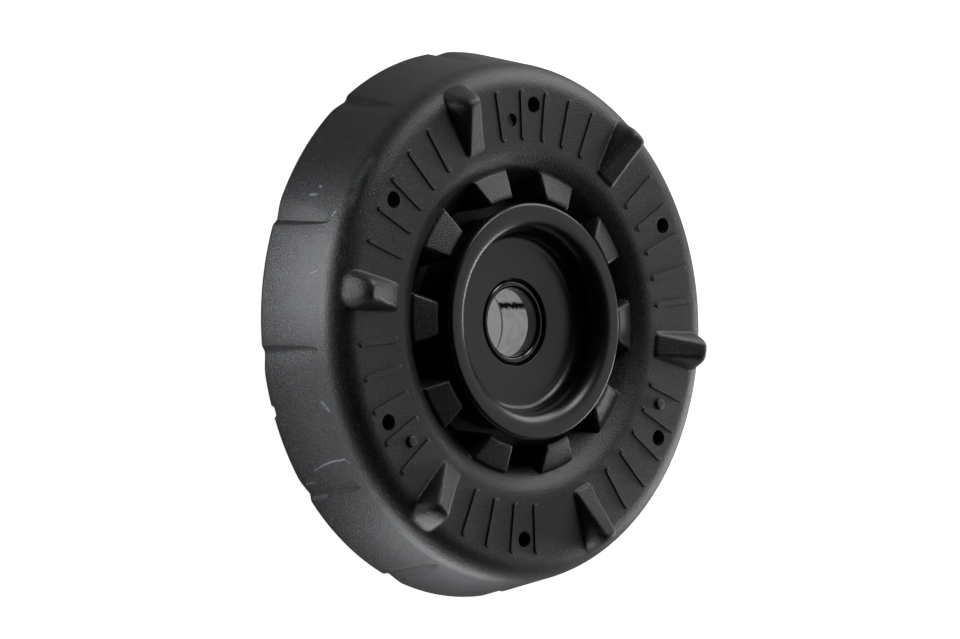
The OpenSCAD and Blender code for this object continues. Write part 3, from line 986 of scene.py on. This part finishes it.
def floor_finish():
    """Matt floor with a glow, which differs between direct view and reflections and changes with radius."""
    made = bpy.data.materials.new("pale_floor")
    made.use_nodes = True
    tree = made.node_tree
    tree.nodes.clear()
    path = add(tree, "ShaderNodeLightPath").outputs
    spot = add(tree, "ShaderNodeTexCoord").outputs["Object"]
    radius = calculate(tree, "DIVIDE", vectors(tree, "LENGTH", spot, output="Value"), MM)
    direct = remap(tree, radius, FLOOR_EDGE, (FLOOR_SHADE, FLOOR_LIFT))
    around = remap(tree, radius, FLOOR_FAR, (FLOOR_NEAR_GLOSS, FLOOR_FAR_GLOSS))
    mirrored = remap(tree, radius, FLOOR_EDGE, (FLOOR_UNDER_GLOSS, around))
    direct = calculate(tree, "MULTIPLY", path["Is Camera Ray"], direct)
    mirrored = calculate(tree, "MULTIPLY", path["Is Glossy Ray"], mirrored)
    lift = calculate(tree, "MAXIMUM", direct, mirrored)
    matt = add(tree, "ShaderNodeBsdfDiffuse", {"Color": linear(FLOOR_COLOUR)})
    glow = add(tree, "ShaderNodeEmission", {"Color": linear("#ffffff"), "Strength": lift})
    both = add(tree, "ShaderNodeAddShader", {0: matt.outputs[0], 1: glow.outputs[0]})
    add(tree, "ShaderNodeOutputMaterial", {"Surface": both.outputs[0]})
    return made


floor_mesh = bpy.data.meshes.new("floor")
corners = [(FLOOR_REACH * x, FLOOR_REACH * y, 0) for x, y in ((-1, -1), (1, -1), (1, 1), (-1, 1))]
floor_mesh.from_pydata(corners, [], [(0, 1, 2, 3)])
floor = bpy.data.objects.new("floor", floor_mesh)
floor.location.z = -FLOOR_DROP * MM
bpy.context.scene.collection.objects.link(floor)
floor.data.materials.append(floor_finish())

# %% Lamps and world
# A softbox has an azimuth and an elevation in degrees, a distance, a width and a height in metres, and a
# power in watts. A card has an azimuth, a width and a power.
SOFTBOXES = {
    "key_softbox": (50, 16, 0.6, 0.4, 0.3, 1.6),
    "rim_softbox": (80, 42, 0.6, 0.2, 0.2, 1.2),
    "horizon_softbox": (-4, 5, 0.6, 0.3, 0.1, 0.95),
    "face_softbox": (2, 43, 0.7, 0.7, 0.5, 0.86),
    "lower_softbox": (-68, 9, 0.36, 0.4, 0.11, 0.06),
}
CARDS = {
    "left_card": (174, 0.07, 0.047),
    "low_left_card": (207, 0.075, 0.014),
    "low_card": (240, 0.075, 0.012),
    "bottom_card": (268, 0.09, 0.036),
}
CARD_DISTANCE = 0.12
CARD_HEIGHT = 0.008
CARD_Z = 0.0045
LAMP_TINT = (0.96, 0.98, 1.0)
LAMP_AIM_Z = 0.015
WORLD_STRENGTH = 0.008


def softbox(name, azimuth_deg, elevation_deg, distance, width, height, watts):
    """A rectangular lamp that looks at the middle of the part."""
    turn, lift = radians(azimuth_deg), radians(elevation_deg)
    away = Vector((cos(lift) * cos(turn), cos(lift) * sin(turn), sin(lift)))
    lamp = bpy.data.lights.new(name, "AREA")
    lamp.shape = "RECTANGLE"
    lamp.size = width
    lamp.size_y = height
    lamp.energy = watts
    lamp.color = LAMP_TINT
    made = bpy.data.objects.new(name, lamp)
    made.location = away * distance + Vector((0, 0, LAMP_AIM_Z))
    made.rotation_euler = away.to_track_quat("Z", "Y").to_euler()
    bpy.context.scene.collection.objects.link(made)
    return made


for name, settings in SOFTBOXES.items():
    softbox(name, *settings)
for name, (turn, width, watts) in CARDS.items():
    card = softbox(name, turn, 0, CARD_DISTANCE, width, CARD_HEIGHT, watts)
    card.location.z = CARD_Z

world = bpy.data.worlds.new("studio")
bpy.context.scene.world = world
world.use_nodes = True
background = world.node_tree.nodes["Background"]
background.inputs["Color"].default_value = linear("#ffffff")
background.inputs["Strength"].default_value = WORLD_STRENGTH
bpy.context.scene.view_settings.view_transform = "Standard"
